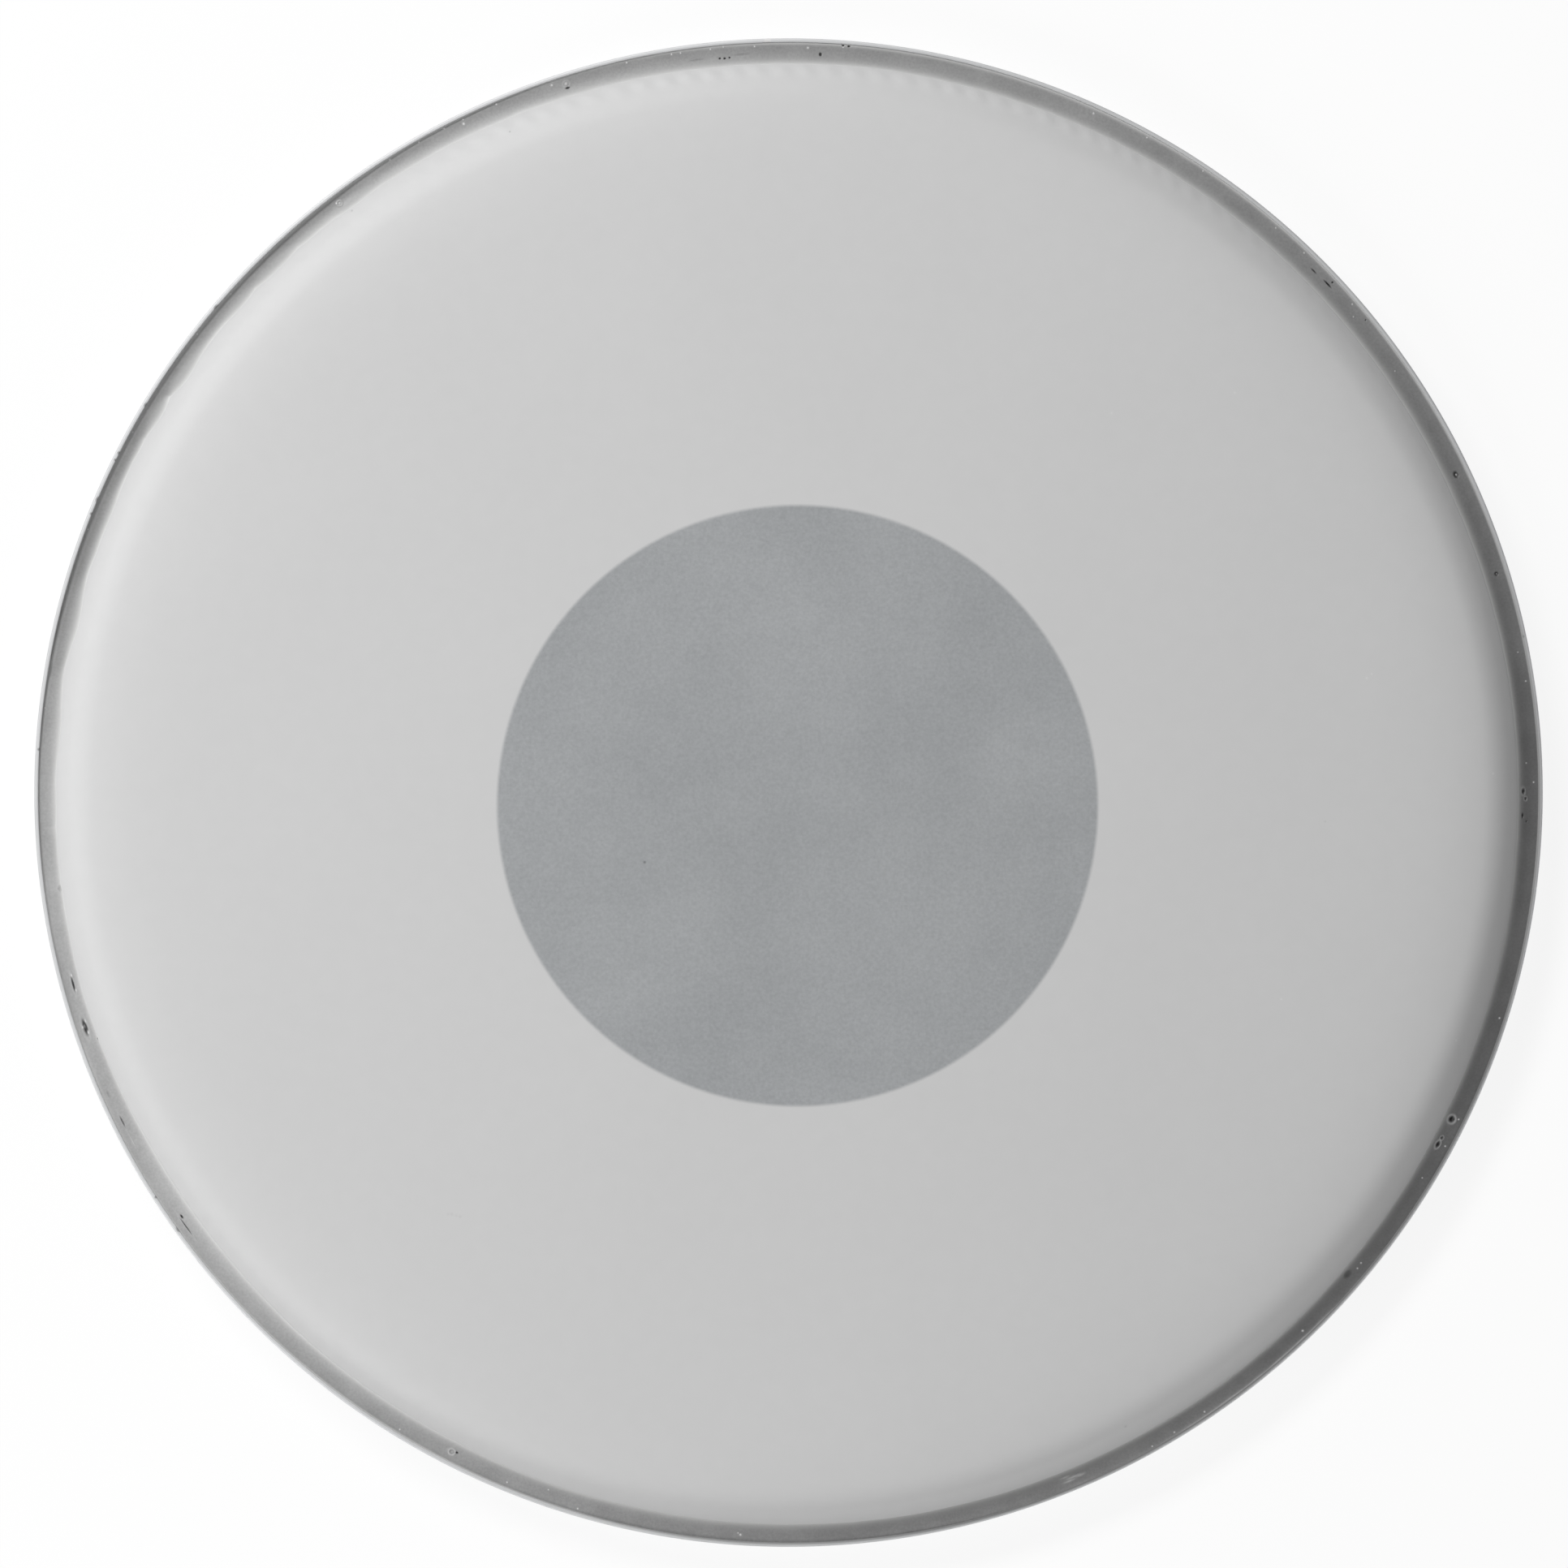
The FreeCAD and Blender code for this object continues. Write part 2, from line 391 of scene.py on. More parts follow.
class Look:
    """A node material in the making, round its Principled shader."""

    def __init__(self, name):
        self.material = bpy.data.materials.new(name)
        self.material.use_nodes = True
        self.nodes = self.material.node_tree.nodes
        self.shader = self.nodes["Principled BSDF"]
        self.place = self.nodes.new("ShaderNodeTexCoord").outputs["Object"]

    def join(self, value, socket):
        """Links an output to a socket, or sets a plain value on it."""
        if isinstance(value, bpy.types.NodeSocket):
            self.material.node_tree.links.new(value, socket)
        else:
            socket.default_value = value

    def give(self, name, value):
        """Joins an output or a plain value to a socket of the shader."""
        self.join(value, self.shader.inputs[name])

    def add(self, kind, output, inputs, **settings):
        """A new node's output, with its settings made and its inputs joined."""
        made = self.nodes.new(kind)
        for name, value in settings.items():
            setattr(made, name, value)
        for name, value in inputs.items():
            self.join(value, made.inputs[name])
        return made.outputs[output]

    def carried(self, name):
        """The number that each point of the piece carries under a name."""
        return self.add("ShaderNodeAttribute", "Fac", {}, attribute_name=name)

    def noise(self, size_mm, detail, place=None):
        """Noise whose patches are about so large, from 0 to 1."""
        scale = 1 / (size_mm * metres_per_mm)
        inputs = {"Vector": place or self.place, "Scale": scale, "Detail": detail}
        return self.add("ShaderNodeTexNoise", 0, inputs)

    def maths(self, operation, first, second):
        """A sum, a product or the larger of two numbers, as the operation says."""
        return self.add("ShaderNodeMath", 0, {0: first, 1: second}, operation=operation)

    def ranged(self, value, bounds, results, kind="LINEAR"):
        """The value between two bounds, carried over to between two results."""
        inputs = {
            "Value": value,
            "From Min": bounds[0],
            "From Max": bounds[1],
            "To Min": results[0],
            "To Max": results[1],
        }
        return self.add("ShaderNodeMapRange", 0, inputs, interpolation_type=kind)

    def mix(self, factor, first, second):
        """A colour between two; the node's inputs 6 and 7 and its output 2 are colours."""
        inputs = {0: factor, 6: first, 7: second}
        return self.add("ShaderNodeMix", 2, inputs, data_type="RGBA")

    def shaded(self, colour, factor):
        """The colour made darker or lighter by a factor."""
        return self.add("ShaderNodeVectorMath", 0, {0: colour, 1: factor}, operation="MULTIPLY")

    def spot(self, place, core_mm, edge_mm):
        """1 within a distance of a place seen from above, fading to 0 at a larger one."""
        flat = self.shaded(self.place, (1, 1, 0))
        middle = (*(place * metres_per_mm), 0)
        away = self.add("ShaderNodeVectorMath", "Value", {0: flat, 1: middle}, operation="DISTANCE")
        bounds = (core_mm * metres_per_mm, edge_mm * metres_per_mm)
        return self.ranged(away, bounds, (1.0, 0.0), "SMOOTHSTEP")

    def streaks(self, along_mm, across_mm):
        """Noise drawn out along the hoop, as rolling and brushing leave it."""
        flat = self.shaded(self.place, (1, 1, 0))
        radius = self.add("ShaderNodeVectorMath", "Value", {0: flat}, operation="LENGTH")
        height = self.add("ShaderNodeSeparateXYZ", "Z", {0: self.place})
        section = self.maths("ADD", radius, height)
        across = self.maths("MULTIPLY", section, along_mm / across_mm)
        drawn = self.add("ShaderNodeCombineXYZ", 0, {2: across})
        place = self.add("ShaderNodeVectorMath", 0, {0: flat, 1: drawn}, operation="ADD")
        return self.noise(along_mm, detail=3.0, place=place)

    def bump(self, height, depth_mm):
        """Makes a fine relief as deep as stated."""
        inputs = {"Height": height, "Distance": depth_mm * metres_per_mm, "Strength": 1.0}
        self.give("Normal", self.add("ShaderNodeBump", 0, inputs))


def aluminium_look():
    """Rolled sheet with fine lines along the hoop and a dull skin, dark where resin spots lie, and
    darkened on the lip's right side as painted shade drawn as smeared resin.
    """
    look = Look("rolled_aluminium")
    lines = look.streaks(along_mm=60.0, across_mm=0.12)
    clouds = look.noise(size_mm=9.0, detail=3.0)
    tone = look.maths("ADD", look.maths("MULTIPLY", lines, 0.6), look.maths("MULTIPLY", clouds, 0.4))
    colour = look.mix(tone, (0.66, 0.665, 0.67, 1), (0.83, 0.835, 0.84, 1))
    smear = look.carried("smear")
    # The darkening holds real resin spots and painted shade on the lip's right side
    look.give("Base Color", look.mix(smear, colour, grey(0.12)))
    look.give("Metallic", look.ranged(smear, (0.0, 1.0), (1.0, 0.0)))
    look.give("Roughness", look.ranged(clouds, (0.2, 0.8), (0.68, 0.78)))
    look.bump(lines, depth_mm=0.01)
    return look.material


def weld_look():
    """Ground weld metal, a little brighter and grainier than the sheet."""
    look = Look("ground_weld")
    grain = look.noise(size_mm=0.5, detail=4.0)
    look.give("Base Color", look.mix(grain, grey(0.7), (0.88, 0.875, 0.87, 1)))
    look.give("Metallic", 1.0)
    look.give("Roughness", look.ranged(grain, (0.2, 0.8), (0.64, 0.78)))
    look.bump(grain, depth_mm=0.02)
    return look.material


def resin_look():
    """Grey casting resin, satin and a little uneven, with painted light and shade in its grey by angle,
    pale where it is thin with painted light along the lip, painted shade in its pits and painted
    highlights on rims, lumps and specks.
    """
    look = Look("cast_resin")
    clouds = look.noise(size_mm=7.0, detail=4.0)
    grain = look.noise(size_mm=0.6, detail=2.0)
    # The tone holds painted light and shade by angle; clouds and grain are the resin's own unevenness
    colour = look.shaded(look.carried("tone"), look.ranged(clouds, (0.25, 0.75), (0.92, 1.08)))
    colour = look.shaded(colour, look.ranged(grain, (0.3, 0.7), (0.92, 1.08)))
    # Pale where the resin is thin; along the lip this is partly painted light
    colour = look.mix(look.carried("thin"), colour, (0.65, 0.65, 0.645, 1))
    # Painted shade darkens the pits, and painted highlights lighten rims, lumps and specks
    colour = look.mix(look.carried("dark"), colour, grey(0.03))
    colour = look.mix(look.carried("pale"), colour, grey(0.8))
    look.give("Base Color", colour)
    look.give("Roughness", look.ranged(clouds, (0.25, 0.75), (0.42, 0.55)))
    look.bump(grain, depth_mm=0.012)
    return look.material


def film_look():
    """Milky polyester, satin, with faint clouding."""
    look = Look("milky_film")
    clouds = look.noise(size_mm=35.0, detail=3.0)
    grain = look.noise(size_mm=0.35, detail=2.0)
    look.give("Base Color", look.mix(clouds, (0.76, 0.77, 0.755, 1), (0.81, 0.82, 0.81, 1)))
    look.give("Roughness", look.ranged(grain, (0.3, 0.7), (0.3, 0.4)))
    look.bump(grain, depth_mm=0.003)
    return look.material


# Specks on the coat: place and reach in pixels of the photograph, and how light against the coat
FilmSpeck = namedtuple("FilmSpeck", "x y reach shade")
film_specks = [
    FilmSpeck(795, 1062, 3.0, 0.5),
    FilmSpeck(1391, 180, 2.4, 0.7),
    FilmSpeck(629, 164, 2.0, 0.7),
    FilmSpeck(434, 260, 2.2, 0.75),
    FilmSpeck(1386, 1756, 3.0, 0.85),
    FilmSpeck(1681, 836, 2.6, 1.1),
    FilmSpeck(1687, 831, 2.2, 1.1),
    FilmSpeck(1837, 953, 2.2, 1.15),
    FilmSpeck(1576, 1230, 2.4, 1.1),
    FilmSpeck(1792, 1281, 2.2, 1.12),
    FilmSpeck(1368, 511, 2.4, 1.08),
    FilmSpeck(1519, 486, 2.4, 1.08),
    FilmSpeck(1630, 1012, 2.4, 0.9),
    FilmSpeck(554, 1493.5, 3.2, 0.94),
    FilmSpeck(558.5, 1493.7, 3.2, 0.92),
    FilmSpeck(564, 1495.5, 3.0, 0.94),
    FilmSpeck(568.5, 1496.6, 3.2, 0.92),
]

# How the dot shows through the coat: how soft its edge is, and how far inside the true edge it lies
dot_edge_blur = 0.6
dot_seen_inset = 0.3


def coating_look():
    """Sprayed white coat with fine grit, through which the dot underneath shows grey."""
    look = Look("sprayed_coat")
    clouds = look.noise(size_mm=45.0, detail=3.0)
    spray = look.noise(size_mm=4.0, detail=3.0)
    mottle = look.noise(size_mm=30.0, detail=4.0)
    grit = look.noise(size_mm=0.45, detail=3.0)
    speckle = look.noise(size_mm=0.75, detail=3.0)
    plain = look.mix(clouds, grey(0.642), grey(0.664))
    plain = look.shaded(plain, look.ranged(spray, (0.3, 0.7), (0.993, 1.007)))
    dotted = look.mix(mottle, (0.311, 0.323, 0.333, 1), (0.432, 0.444, 0.454, 1))
    dotted = look.shaded(dotted, look.ranged(speckle, (0.25, 0.75), (0.915, 1.085)))
    seen_radius = dot_radius - dot_seen_inset
    over_dot = look.spot(dot_centre, seen_radius - dot_edge_blur, seen_radius + dot_edge_blur)
    colour = look.mix(over_dot, plain, dotted)
    for speck in film_specks:
        mark = look.spot(on_part(speck.x, speck.y), 0.0, speck.reach * mm_per_pixel)
        colour = look.shaded(colour, look.ranged(mark, (0.0, 1.0), (1.0, speck.shade)))
    look.give("Base Color", colour)
    look.give("Roughness", look.ranged(grit, (0.3, 0.7), (0.56, 0.7)))
    look.bump(grit, depth_mm=0.01)
    return look.material


def adhesive_look():
    """Clear bonding film, a little yellow, with trapped dust."""
    look = Look("bond")
    dust = look.noise(size_mm=1.2, detail=4.0)
    look.give("Base Color", look.mix(dust, (0.55, 0.55, 0.47, 1), (0.66, 0.66, 0.58, 1)))
    look.give("Roughness", look.ranged(dust, (0.3, 0.7), (0.15, 0.3)))
    look.bump(dust, depth_mm=0.01)
    return look.material


def dot_look():
    """Black polyester with a satin face and faint rub marks."""
    look = Look("black_film")
    rubs = look.noise(size_mm=18.0, detail=5.0)
    grain = look.noise(size_mm=0.4, detail=2.0)
    look.give("Base Color", look.mix(rubs, (0.022, 0.022, 0.024, 1), (0.042, 0.042, 0.045, 1)))
    look.give("Roughness", look.ranged(rubs, (0.3, 0.7), (0.3, 0.46)))
    look.bump(grain, depth_mm=0.004)
    return look.material


# Shared lines of the section

def collar_point(height, depth=0.0):
    """A point on the collar's slope, at a depth under the film's upper face."""
    run = (height - skirt_bend_level) * math.cos(collar_slope) + depth
    return skirt_radius - run / math.sin(collar_slope), height


def skirt_corner(depth):
    """Where the upright skirt and the slope would meet if the bend were sharp."""
    drop = depth * (1 - math.sin(collar_slope)) / math.cos(collar_slope)
    return skirt_radius - depth, skirt_bend_level - drop


def inner_wall_top():
    """Height at which the film's under face passes the inner wall by the stated gap."""
    run = skirt_radius - (channel_inner_radius + film_wall_gap)
    rise = run * math.sin(collar_slope) - film_thickness
    return skirt_bend_level + rise / math.cos(collar_slope)


def by_angle(table, angle):
    """The value that a table of (degrees, value) steps gives an angle."""
    degrees = math.degrees(angle) % 360
    for (before, low), (after, high) in zip(table, table[1:]):
        if degrees <= after:
            return low + (high - low) * smooth((degrees - before) / (after - before))
    return table[-1][1]


def film_line(angle):
    """Height of the line where the resin ends on the film."""
    drift = wander(angle, film_drift) + fine_drift_share * wander(angle, film_fine_drift)
    scallop = abs(wander(angle, film_scallops)) - ragged_middle
    uneven = film_line_wander * drift + ragged_height * by_angle(ragged_edges, angle) * scallop
    return resin_level + film_climb + by_angle(resin_rises, angle) + uneven


def resin_height(angle):
    """Height at which the resin lies in the middle of the groove."""
    swell = resin_swell * wander(angle, resin_drift)
    return resin_level + by_angle(resin_levels, angle) + swell


def lip_line(angle):
    """Height of the line where the resin ends on the hoop's lip."""
    lip_edge = hoop_height - lip_round_share * outer_wall
    climbed = resin_height(angle) + by_angle(lip_climbs, angle)
    return min(lip_edge, climbed) + lip_line_wander * wander(angle, lip_drift)


slope_foot_radius = collar_point(resin_level)[0]


def slope_height(radius):
    """Height of the film's upper face at a radius on the slope."""
    return resin_level + (slope_foot_radius - radius) * math.tan(soft_slope)


slope_top = slope_height(slope_top_radius)


def slope_point(height, depth=0.0):
    """A point on the head's slope above the resin, at a depth under the film's upper face."""
    run = (height - resin_level) * math.cos(soft_slope) + depth
    return slope_foot_radius - run / math.sin(soft_slope), height


def wave(radius, angle):
    """Lift of the coat's face where the drawn film is wavy."""
    away = radius - wave_radius
    phase = wave_count * angle + wave_slant * away + wave_drift * wander(angle, phase_drift)
    height = wave_height * by_angle(wave_pulls, angle) * math.exp(-(away / wave_reach) ** 2)
    return height * (1 + math.cos(phase))


def coat_edge(angle):
    """Height of the coat's lower edge."""
    return film_line(angle) + coat_gap + coat_edge_wander * (1 + wander(angle, coat_drift))


# Hoop and its weld

# Spots of resin on the lip: angle, and half length along the lip in pixels of the photograph
lip_spots = [
    (12.0, 4.0), (139.7, 5.0), (148.9, 4.0), (153.1, 2.8), (153.7, 2.2), (157.0, 5.0),
    (158.2, 2.6), (176.7, 2.6), (212.6, 2.2), (215.6, 5.0),
]

# Mesh columns to each side of a spot's middle, how thick a spot is, and how wide and soft the lip's
# darkening is, spots and painted shade alike
spot_steps = 6
spot_amount = 0.75
smear_and_shade_width = 0.6
smear_and_shade_fade = 0.5


def hoop_path(root_gap=0.0):
    """Closed section of the channel: floor, outer wall with its lip, and lower inner wall."""
    outer_bend = channel_bend_radius + outer_wall
    inner_bend = channel_bend_radius + inner_wall
    wall_round = lip_round_share * inner_wall
    outer_face = channel_outer_radius + root_gap
    inner_face = channel_inner_radius - root_gap
    floor_face = hoop_floor - root_gap
    channel_bend = channel_bend_radius + root_gap
    floor_middle = (channel_outer_radius + channel_inner_radius) / 2
    wall_top = inner_wall_top()
    corners = [
        (floor_middle, 0, 0),
        (hoop_outer_radius, 0, outer_bend),
        (hoop_outer_radius, hoop_height, lip_outer_round),
        (outer_face, hoop_height, lip_inner_round),
        (outer_face, floor_face, channel_bend),
        (inner_face, floor_face, channel_bend),
        (inner_face, wall_top, wall_round),
        (hoop_inner_radius, wall_top, wall_round),
        (hoop_inner_radius, 0, inner_bend),
        (floor_middle, 0, 0),
    ]
    return divided(rounded_path(corners))[:-1]


def hoop_angles():
    """Angles round the hoop from one end of its seam to the other, closer at each spot."""
    start = seam_middle + seam_turn / 2
    sweep = full_turn - seam_turn
    angles = [start + sweep * column / hoop_columns for column in range(hoop_columns + 1)]
    for degrees, half_length in lip_spots:
        middle = start + (math.radians(degrees) - start) % full_turn
        for step in range(-spot_steps, spot_steps + 1):
            angles.append(middle + step / spot_steps * half_length / photo_radius)
    return sorted(angles)


def lip_smear_and_painted_shade(radius, height, angle):
    """How dark a point of the hoop is made, from 0 to 1: by resin spots, and by painted shade drawn as
    smeared resin on the lip's right side.
    """
    if height < hoop_height - outer_wall or radius < channel_outer_radius:
        return 0.0
    amount = by_angle(painted_lip_shades, angle)
    for degrees, half_length in lip_spots:
        away = photo_radius * turn_between(math.radians(degrees), angle) / half_length
        amount = max(amount, spot_amount * (1 - away ** 2))
    reach = channel_outer_radius + smear_and_shade_width * amount
    return amount * smooth((reach + smear_and_shade_fade / 2 - radius) / smear_and_shade_fade)


def make_hoop():
    """The rolled channel, open at its seam."""
    path = hoop_path()
    angles = hoop_angles()
    points, rings = sweep_grid(fixed(path), angles)
    faces = ring_faces(rings, True, whole_turn=False)
    hoop = make_piece("hoop", points, faces, aluminium_look(), "hoop_channel")
    # The hoop's darkening: resin spots, and painted shade on the lip's right side
    set_values(hoop, "smear", [lip_smear_and_painted_shade(*point, angle) for point in path for angle in angles])


def make_weld():
    """The weld that fills the seam."""
    start = seam_middle - seam_turn / 2
    angles = [start + seam_turn * column / weld_columns for column in range(weld_columns + 1)]
    points, rings = sweep_grid(fixed(hoop_path(weld_root_gap)), angles)
    faces = ring_faces(rings, True, whole_turn=False)
    make_piece("weld", points, faces, weld_look(), "hoop_weld")


# Film, coat and dot

def dome_height(radius):
    """Height of the film's upper face inside the shoulder."""
    return film_top - shoulder_droop * math.exp((radius - shoulder_radius) / droop_length)


def head_path():
    """The film's upper face from the axis over the shoulder to the top of the slope.

    The dome's rings lie closer towards the shoulder, which is one smooth curve."""
    path = []
    for ring in range(dome_rings):
        radius = shoulder_radius * (1 - (1 - ring / dome_rings) ** 2)
        path.append((radius, dome_height(radius)))
    fall = shoulder_droop / droop_length
    steep = math.tan(soft_slope)
    start = Vector((shoulder_radius, dome_height(shoulder_radius)))
    end = Vector((slope_top_radius, slope_top))
    meeting = (end.y + steep * end.x - start.y - fall * start.x) / (steep - fall)
    corner = Vector((meeting, start.y - fall * (meeting - start.x)))
    for step in range(shoulder_steps + 1):
        share = step / shoulder_steps
        path.append(tuple(start.lerp(corner, share).lerp(corner.lerp(end, share), share)))
    return path


def head_rows(depth, waved=False):
    """Rows of the head's path without its last point, moved down along its normals by a depth."""
    path = head_path()
    rows = fixed([(0, path[0][1] - depth)])

    def moved(here, along):
        def row(angle):
            drop = depth - wave(here[0], angle) if waved else depth
            return here[0] + along.y * drop, here[1] - along.x * drop

        return row

    for before, here, after in zip(path, path[1:], path[2:]):
        rows.append(moved(here, (Vector(after) - Vector(before)).normalized()))
    return rows


def skirt_path(depth):
    """A face of the film from the resin's level to the lower edge of the skirt."""
    bend_reach = skirt_bend_radius * math.tan((math.pi / 2 - collar_slope) / 2)
    highest = skirt_corner(film_thickness)[1] - bend_reach - slot_edge_margin
    lowest = skirt_bottom + slot_edge_margin
    skirt = [(skirt_radius - depth, level) for level in (highest, lowest, skirt_bottom)]
    corners = [
        (*slope_point(resin_level, depth), 0),
        (*skirt_corner(depth), skirt_bend_radius + film_thickness - depth),
        (*skirt[0], 0),
    ]
    return divided(rounded_path(corners))[1:] + skirt[1:]


def film_rows(depth):
    """Rows of a face of the film from the axis to the lower edge of the skirt."""
    drop = (slope_top - resin_level) / slope_rows
    heights = [slope_top - drop * row for row in range(slope_rows + 1)]
    slope = [slope_point(height, depth) for height in heights]
    return head_rows(depth) + fixed(slope + skirt_path(depth))


def make_film():
    """The film: domed head, rounded shoulder, sloping collar and punched skirt.

    A slot takes half of its pitch, between the third and the second row from a face's lower edge."""
    upper = film_rows(0.0)
    under = film_rows(film_thickness)
    rows = upper + under[::-1]
    pitch = film_columns // slot_count
    slot_cells = pitch // 2
    angles = even_angles(film_columns, -math.pi * slot_cells / film_columns)
    points, rings = sweep_grid(rows, angles)
    outer_strip = len(upper) - 3
    inner_strip = len(upper) + 1

    def in_slot(ring, column):
        return ring in (outer_strip, inner_strip) and column % pitch < slot_cells

    faces = ring_faces(rings, False, left_out=in_slot)
    outer_top, outer_bottom = rings[outer_strip], rings[outer_strip + 1]
    inner_bottom, inner_top = rings[inner_strip], rings[inner_strip + 1]
    end_rings = (outer_top, outer_bottom, inner_bottom, inner_top)
    for first in range(0, film_columns, pitch):
        last = first + slot_cells
        for column in range(first, last):
            for outer, inner in ((outer_top, inner_top), (outer_bottom, inner_bottom)):
                faces.append((outer[column], outer[column + 1], inner[column + 1], inner[column]))
        for column in (first, last):
            faces.append(tuple(ring[column] for ring in end_rings))
    make_piece("film", points, faces, film_look(), "head_film")


def coat_slope_row(share, upper):
    """A row of the coat on the slope, at a share of the way from its top to its edge."""
    feather = smooth((1 - share) / coat_feather_share)
    thickness = coat_feather_thickness + (coat_thickness - coat_feather_thickness) * feather

    def row(angle):
        height = slope_top + (coat_edge(angle) - slope_top) * share
        radius = slope_point(height)[0]
        return slope_point(height, -thickness - wave(radius, angle)) if upper else (radius, height)

    return row


def make_coating():
    """The coat, on the head and down the collar to just above the resin."""
    shares = [row / slope_rows for row in range(slope_rows + 1)]
    upper = head_rows(-coat_thickness, waved=True)
    upper += [coat_slope_row(share, True) for share in shares]
    under = head_rows(0.0)
    under += [coat_slope_row(share, False) for share in shares]
    points, rings = sweep_grid(upper + under[::-1], edge_angles())
    faces = ring_faces(rings, False)
    make_piece("coating", points, faces, coating_look(), "top_coating")


# Edges of the dot and its bond: how much of the thickness is eased, and how far the bond's edge wanders
edge_bevel_share = 0.35
bond_wander = 0.35


def disc_rows(radius, low, high, wobble):
    """Rows of a thin disc with eased edges, whose radius may wander."""
    bevel = (high - low) * edge_bevel_share
    half = [(radius * ring / dot_rings, high) for ring in range(dot_rings)]
    half += [(radius - bevel, high), (radius, high - bevel)]
    other = [(distance, low + high - level) for distance, level in half[::-1]]

    def row(point):
        distance, level = point
        share = distance / radius
        return lambda angle: (distance + wobble * share * wander(angle, bond_drift), level)

    return [row(point) for point in half + other]


def make_disc(name, radius, low, high, wobble, look, node):
    """A thin disc under the film, centred where the dot was laid."""
    rows = disc_rows(radius, low, high, wobble)
    points, rings = sweep_grid(rows, even_angles(dot_columns), dot_centre)
    make_piece(name, points, ring_faces(rings, False), look, node)


def make_dot():
    """The damping dot and the bond that holds it, squeezed out unevenly at the edge."""
    make_disc(
        "bond", bond_radius - bond_wander, bond_low.z, bond_high.z, bond_wander,
        adhesive_look(), "dot_adhesive",
    )
    make_disc(
        "dot", dot_radius, dot_low.z, dot_high.z, 0.0,
        dot_look(), "reverse_dot",
    )


# Resin with its burst bubbles and specks

Mark = namedtuple("Mark", "x y along across depth rim core pale")

# Places and half sizes in pixels of the photograph, along the hoop and across it, and the relief
# in millimetres: how deep the pit is, how high its rim and the lump in its middle; how pale the lump is, a
# painted highlight
resin_marks = [
    Mark(698, 103.5, 3.8, 3.4, 0.0, 0.05, 0.2, 0.45),
    Mark(699.5, 108.2, 3.8, 1.7, 0.35, 0.0, 0.0, 0.0),
    Mark(1794, 585, 6.0, 4.2, 0.4, 0.0, 0.0, 0.0),
    Mark(1794.5, 585, 2.8, 2.0, 0.0, 0.0, 0.25, 0.7),
    Mark(1844, 707, 3.6, 3.4, 0.35, 0.0, 0.0, 0.0),
    Mark(1844, 707, 1.8, 1.7, 0.0, 0.0, 0.15, 0.45),
    Mark(1789, 1379, 4.8, 4.4, 0.55, 0.14, 0.0, 0.0),
    Mark(1772, 1410, 5.0, 2.6, 0.4, 0.12, 0.0, 0.0),
    Mark(1777, 1402, 2.6, 2.0, 0.18, 0.1, 0.0, 0.0),
    Mark(1661, 1570, 8.5, 5.5, 0.14, 0.0, 0.0, 0.0),
    Mark(90, 1213, 12.5, 1.7, 0.28, 0.05, 0.0, 0.0),
    Mark(105, 1266, 14.0, 3.4, 0.35, 0.05, 0.0, 0.0),
    Mark(104, 1264.5, 5.0, 1.8, 0.0, 0.0, 0.12, 0.3),
    Mark(557, 1789, 3.6, 3.2, 0.1, 0.14, 0.1, 0.3),
    Mark(563, 1790, 2.6, 1.8, 0.3, 0.0, 0.0, 0.0),
    Mark(151, 1382, 10.0, 1.4, 0.2, 0.03, 0.0, 0.0),
    Mark(224, 1499, 4.2, 1.6, 0.3, 0.0, 0.0, 0.0),
    Mark(229, 1511, 17.0, 1.1, 0.2, 0.05, 0.0, 0.0),
    Mark(887, 72, 1.9, 1.5, 0.3, 0.0, 0.0, 0.0),
    Mark(893, 72, 2.1, 1.6, 0.3, 0.0, 0.0, 0.0),
    Mark(899, 71, 1.7, 1.4, 0.3, 0.0, 0.0, 0.0),
    Mark(1011, 67, 2.4, 3.2, 0.3, 0.0, 0.0, 0.0),
    Mark(1039, 56, 2.2, 1.6, 0.3, 0.0, 0.0, 0.0),
    Mark(1046, 57, 2.6, 1.6, 0.3, 0.0, 0.0, 0.0),
    Mark(1636, 350, 9.0, 1.4, 0.3, 0.03, 0.0, 0.0),
    Mark(1642, 348, 1.8, 1.6, 0.3, 0.0, 0.0, 0.0),
    Mark(1619, 334, 6.6, 1.3, 0.25, 0.0, 0.0, 0.0),
    Mark(1877, 975, 4.4, 2.4, 0.3, 0.06, 0.0, 0.0),
    Mark(1880, 984, 2.6, 1.8, 0.2, 0.08, 0.0, 0.0),
    Mark(1876, 1005, 5.0, 1.6, 0.3, 0.0, 0.0, 0.0),
    Mark(1881, 1012, 1.8, 1.5, 0.25, 0.0, 0.0, 0.0),
]

